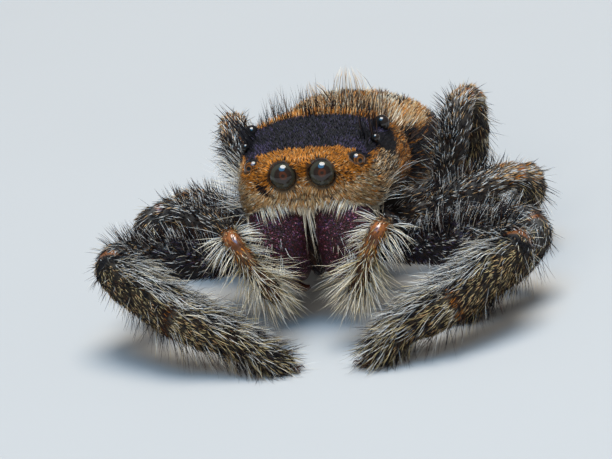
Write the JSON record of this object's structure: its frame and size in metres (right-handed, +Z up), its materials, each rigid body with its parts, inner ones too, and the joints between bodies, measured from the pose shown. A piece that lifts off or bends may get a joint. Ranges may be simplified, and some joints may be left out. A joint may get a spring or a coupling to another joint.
{
  "type": "jumping spider",
  "caption": "Life-size still model of a furry female jumping spider, crouched low with its front legs curled round its face and its large round eyes forward.",
  "frame": {"origin": "middle of the spider's footprint, on the floor it stands on", "axes": "+Y towards its tail, +X towards its own left, +Z up; it faces -Y"},
  "size_m": [0.014, 0.0202, 0.0068],
  "materials": {
    "head_coat": "short orange fur",
    "abdomen_coat": "long soft tan fur",
    "leg_coat": "bristly black and grey fur",
    "feeler_coat": "long cream hair on an orange-brown shell",
    "eye": "wet black gloss",
    "jaw": "dark plum with a violet sheen",
    "spinneret": "matt dark skin"
  },
  "bodies": {
    "root": {"cephalothorax": "head_coat", "abdomen": "abdomen_coat", "spinnerets": "spinneret", "eye_front_middle_left": "eye", "eye_front_side_left": "eye", "eye_small_left": "eye", "eye_rear_left": "eye", "jaw_left": "jaw", "feeler_left": "feeler_coat", "leg_1_left_thigh": "leg_coat", "leg_1_left_shank": "leg_coat", "leg_2_left_thigh": "leg_coat", "leg_2_left_shank": "leg_coat", "leg_3_left_thigh": "leg_coat", "leg_3_left_shank": "leg_coat", "leg_4_left_thigh": "leg_coat", "leg_4_left_shank": "leg_coat", "eye_front_middle_right": "eye", "eye_front_side_right": "eye", "eye_small_right": "eye", "eye_rear_right": "eye", "jaw_right": "jaw", "feeler_right": "feeler_coat", "leg_1_right_thigh": "leg_coat", "leg_1_right_shank": "leg_coat", "leg_2_right_thigh": "leg_coat", "leg_2_right_shank": "leg_coat", "leg_3_right_thigh": "leg_coat", "leg_3_right_shank": "leg_coat", "leg_4_right_thigh": "leg_coat", "leg_4_right_shank": "leg_coat"}
  },
  "joints": []
}
